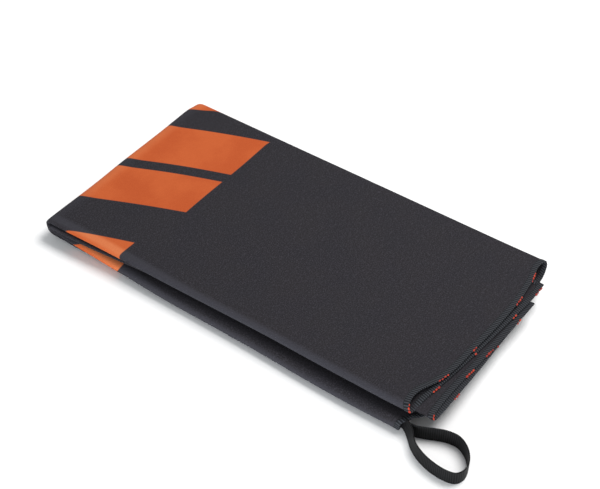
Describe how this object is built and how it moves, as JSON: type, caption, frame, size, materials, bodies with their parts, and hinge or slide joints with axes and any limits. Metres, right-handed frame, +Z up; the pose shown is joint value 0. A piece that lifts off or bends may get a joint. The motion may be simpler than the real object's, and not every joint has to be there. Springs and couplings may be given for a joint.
{
  "type": "quick dry towel",
  "caption": "Thin microfibre travel towel folded into a flat rectangular pad, with overlocked hems and a webbing hanging loop sewn in at one corner.",
  "frame": {"origin": "centre of the folded towel's underside, on the face it rests on", "axes": "+X along the folded towel towards its short hems, +Y from the corner with the loop towards the back fold, +Z up from the underside"},
  "size_m": [0.4185, 0.2264, 0.0258],
  "materials": {
    "cloth": "suede microfibre",
    "hem_thread": "overlock thread",
    "webbing": "ribbed polyester webbing"
  },
  "bodies": {
    "lower_half": {"cloth_lower_half": "cloth", "cloth_cross_fold": "cloth", "short_hem_lower": "hem_thread", "side_hem_a_lower": "hem_thread", "side_hem_b_lower": "hem_thread", "side_hem_a_fold": "hem_thread", "side_hem_b_fold": "hem_thread", "loop_tail_near": "webbing", "loop_tail_far": "webbing", "loop_bartack": "hem_thread"},
    "upper_half": {"cloth_upper_half": "cloth", "short_hem_upper": "hem_thread", "side_hem_a_upper": "hem_thread", "side_hem_b_upper": "hem_thread"},
    "tape_loop": {"hanging_loop": "webbing"}
  },
  "joints": [
    {"name": "cross_fold_open", "type": "hinge", "parent": "lower_half", "child": "upper_half", "pos_m": [-0.1701, 0, 0.0122], "axis": [0, -1, 0], "range_deg": [0, 178], "deforming": ["cloth_cross_fold", "side_hem_a_fold", "side_hem_b_fold"]},
    {"name": "loop_swing", "type": "hinge", "parent": "lower_half", "child": "tape_loop", "pos_m": [0.1718, -0.0982, 0.0063], "axis": [0, 0, 1], "range_deg": [-45, 60]}
  ]
}
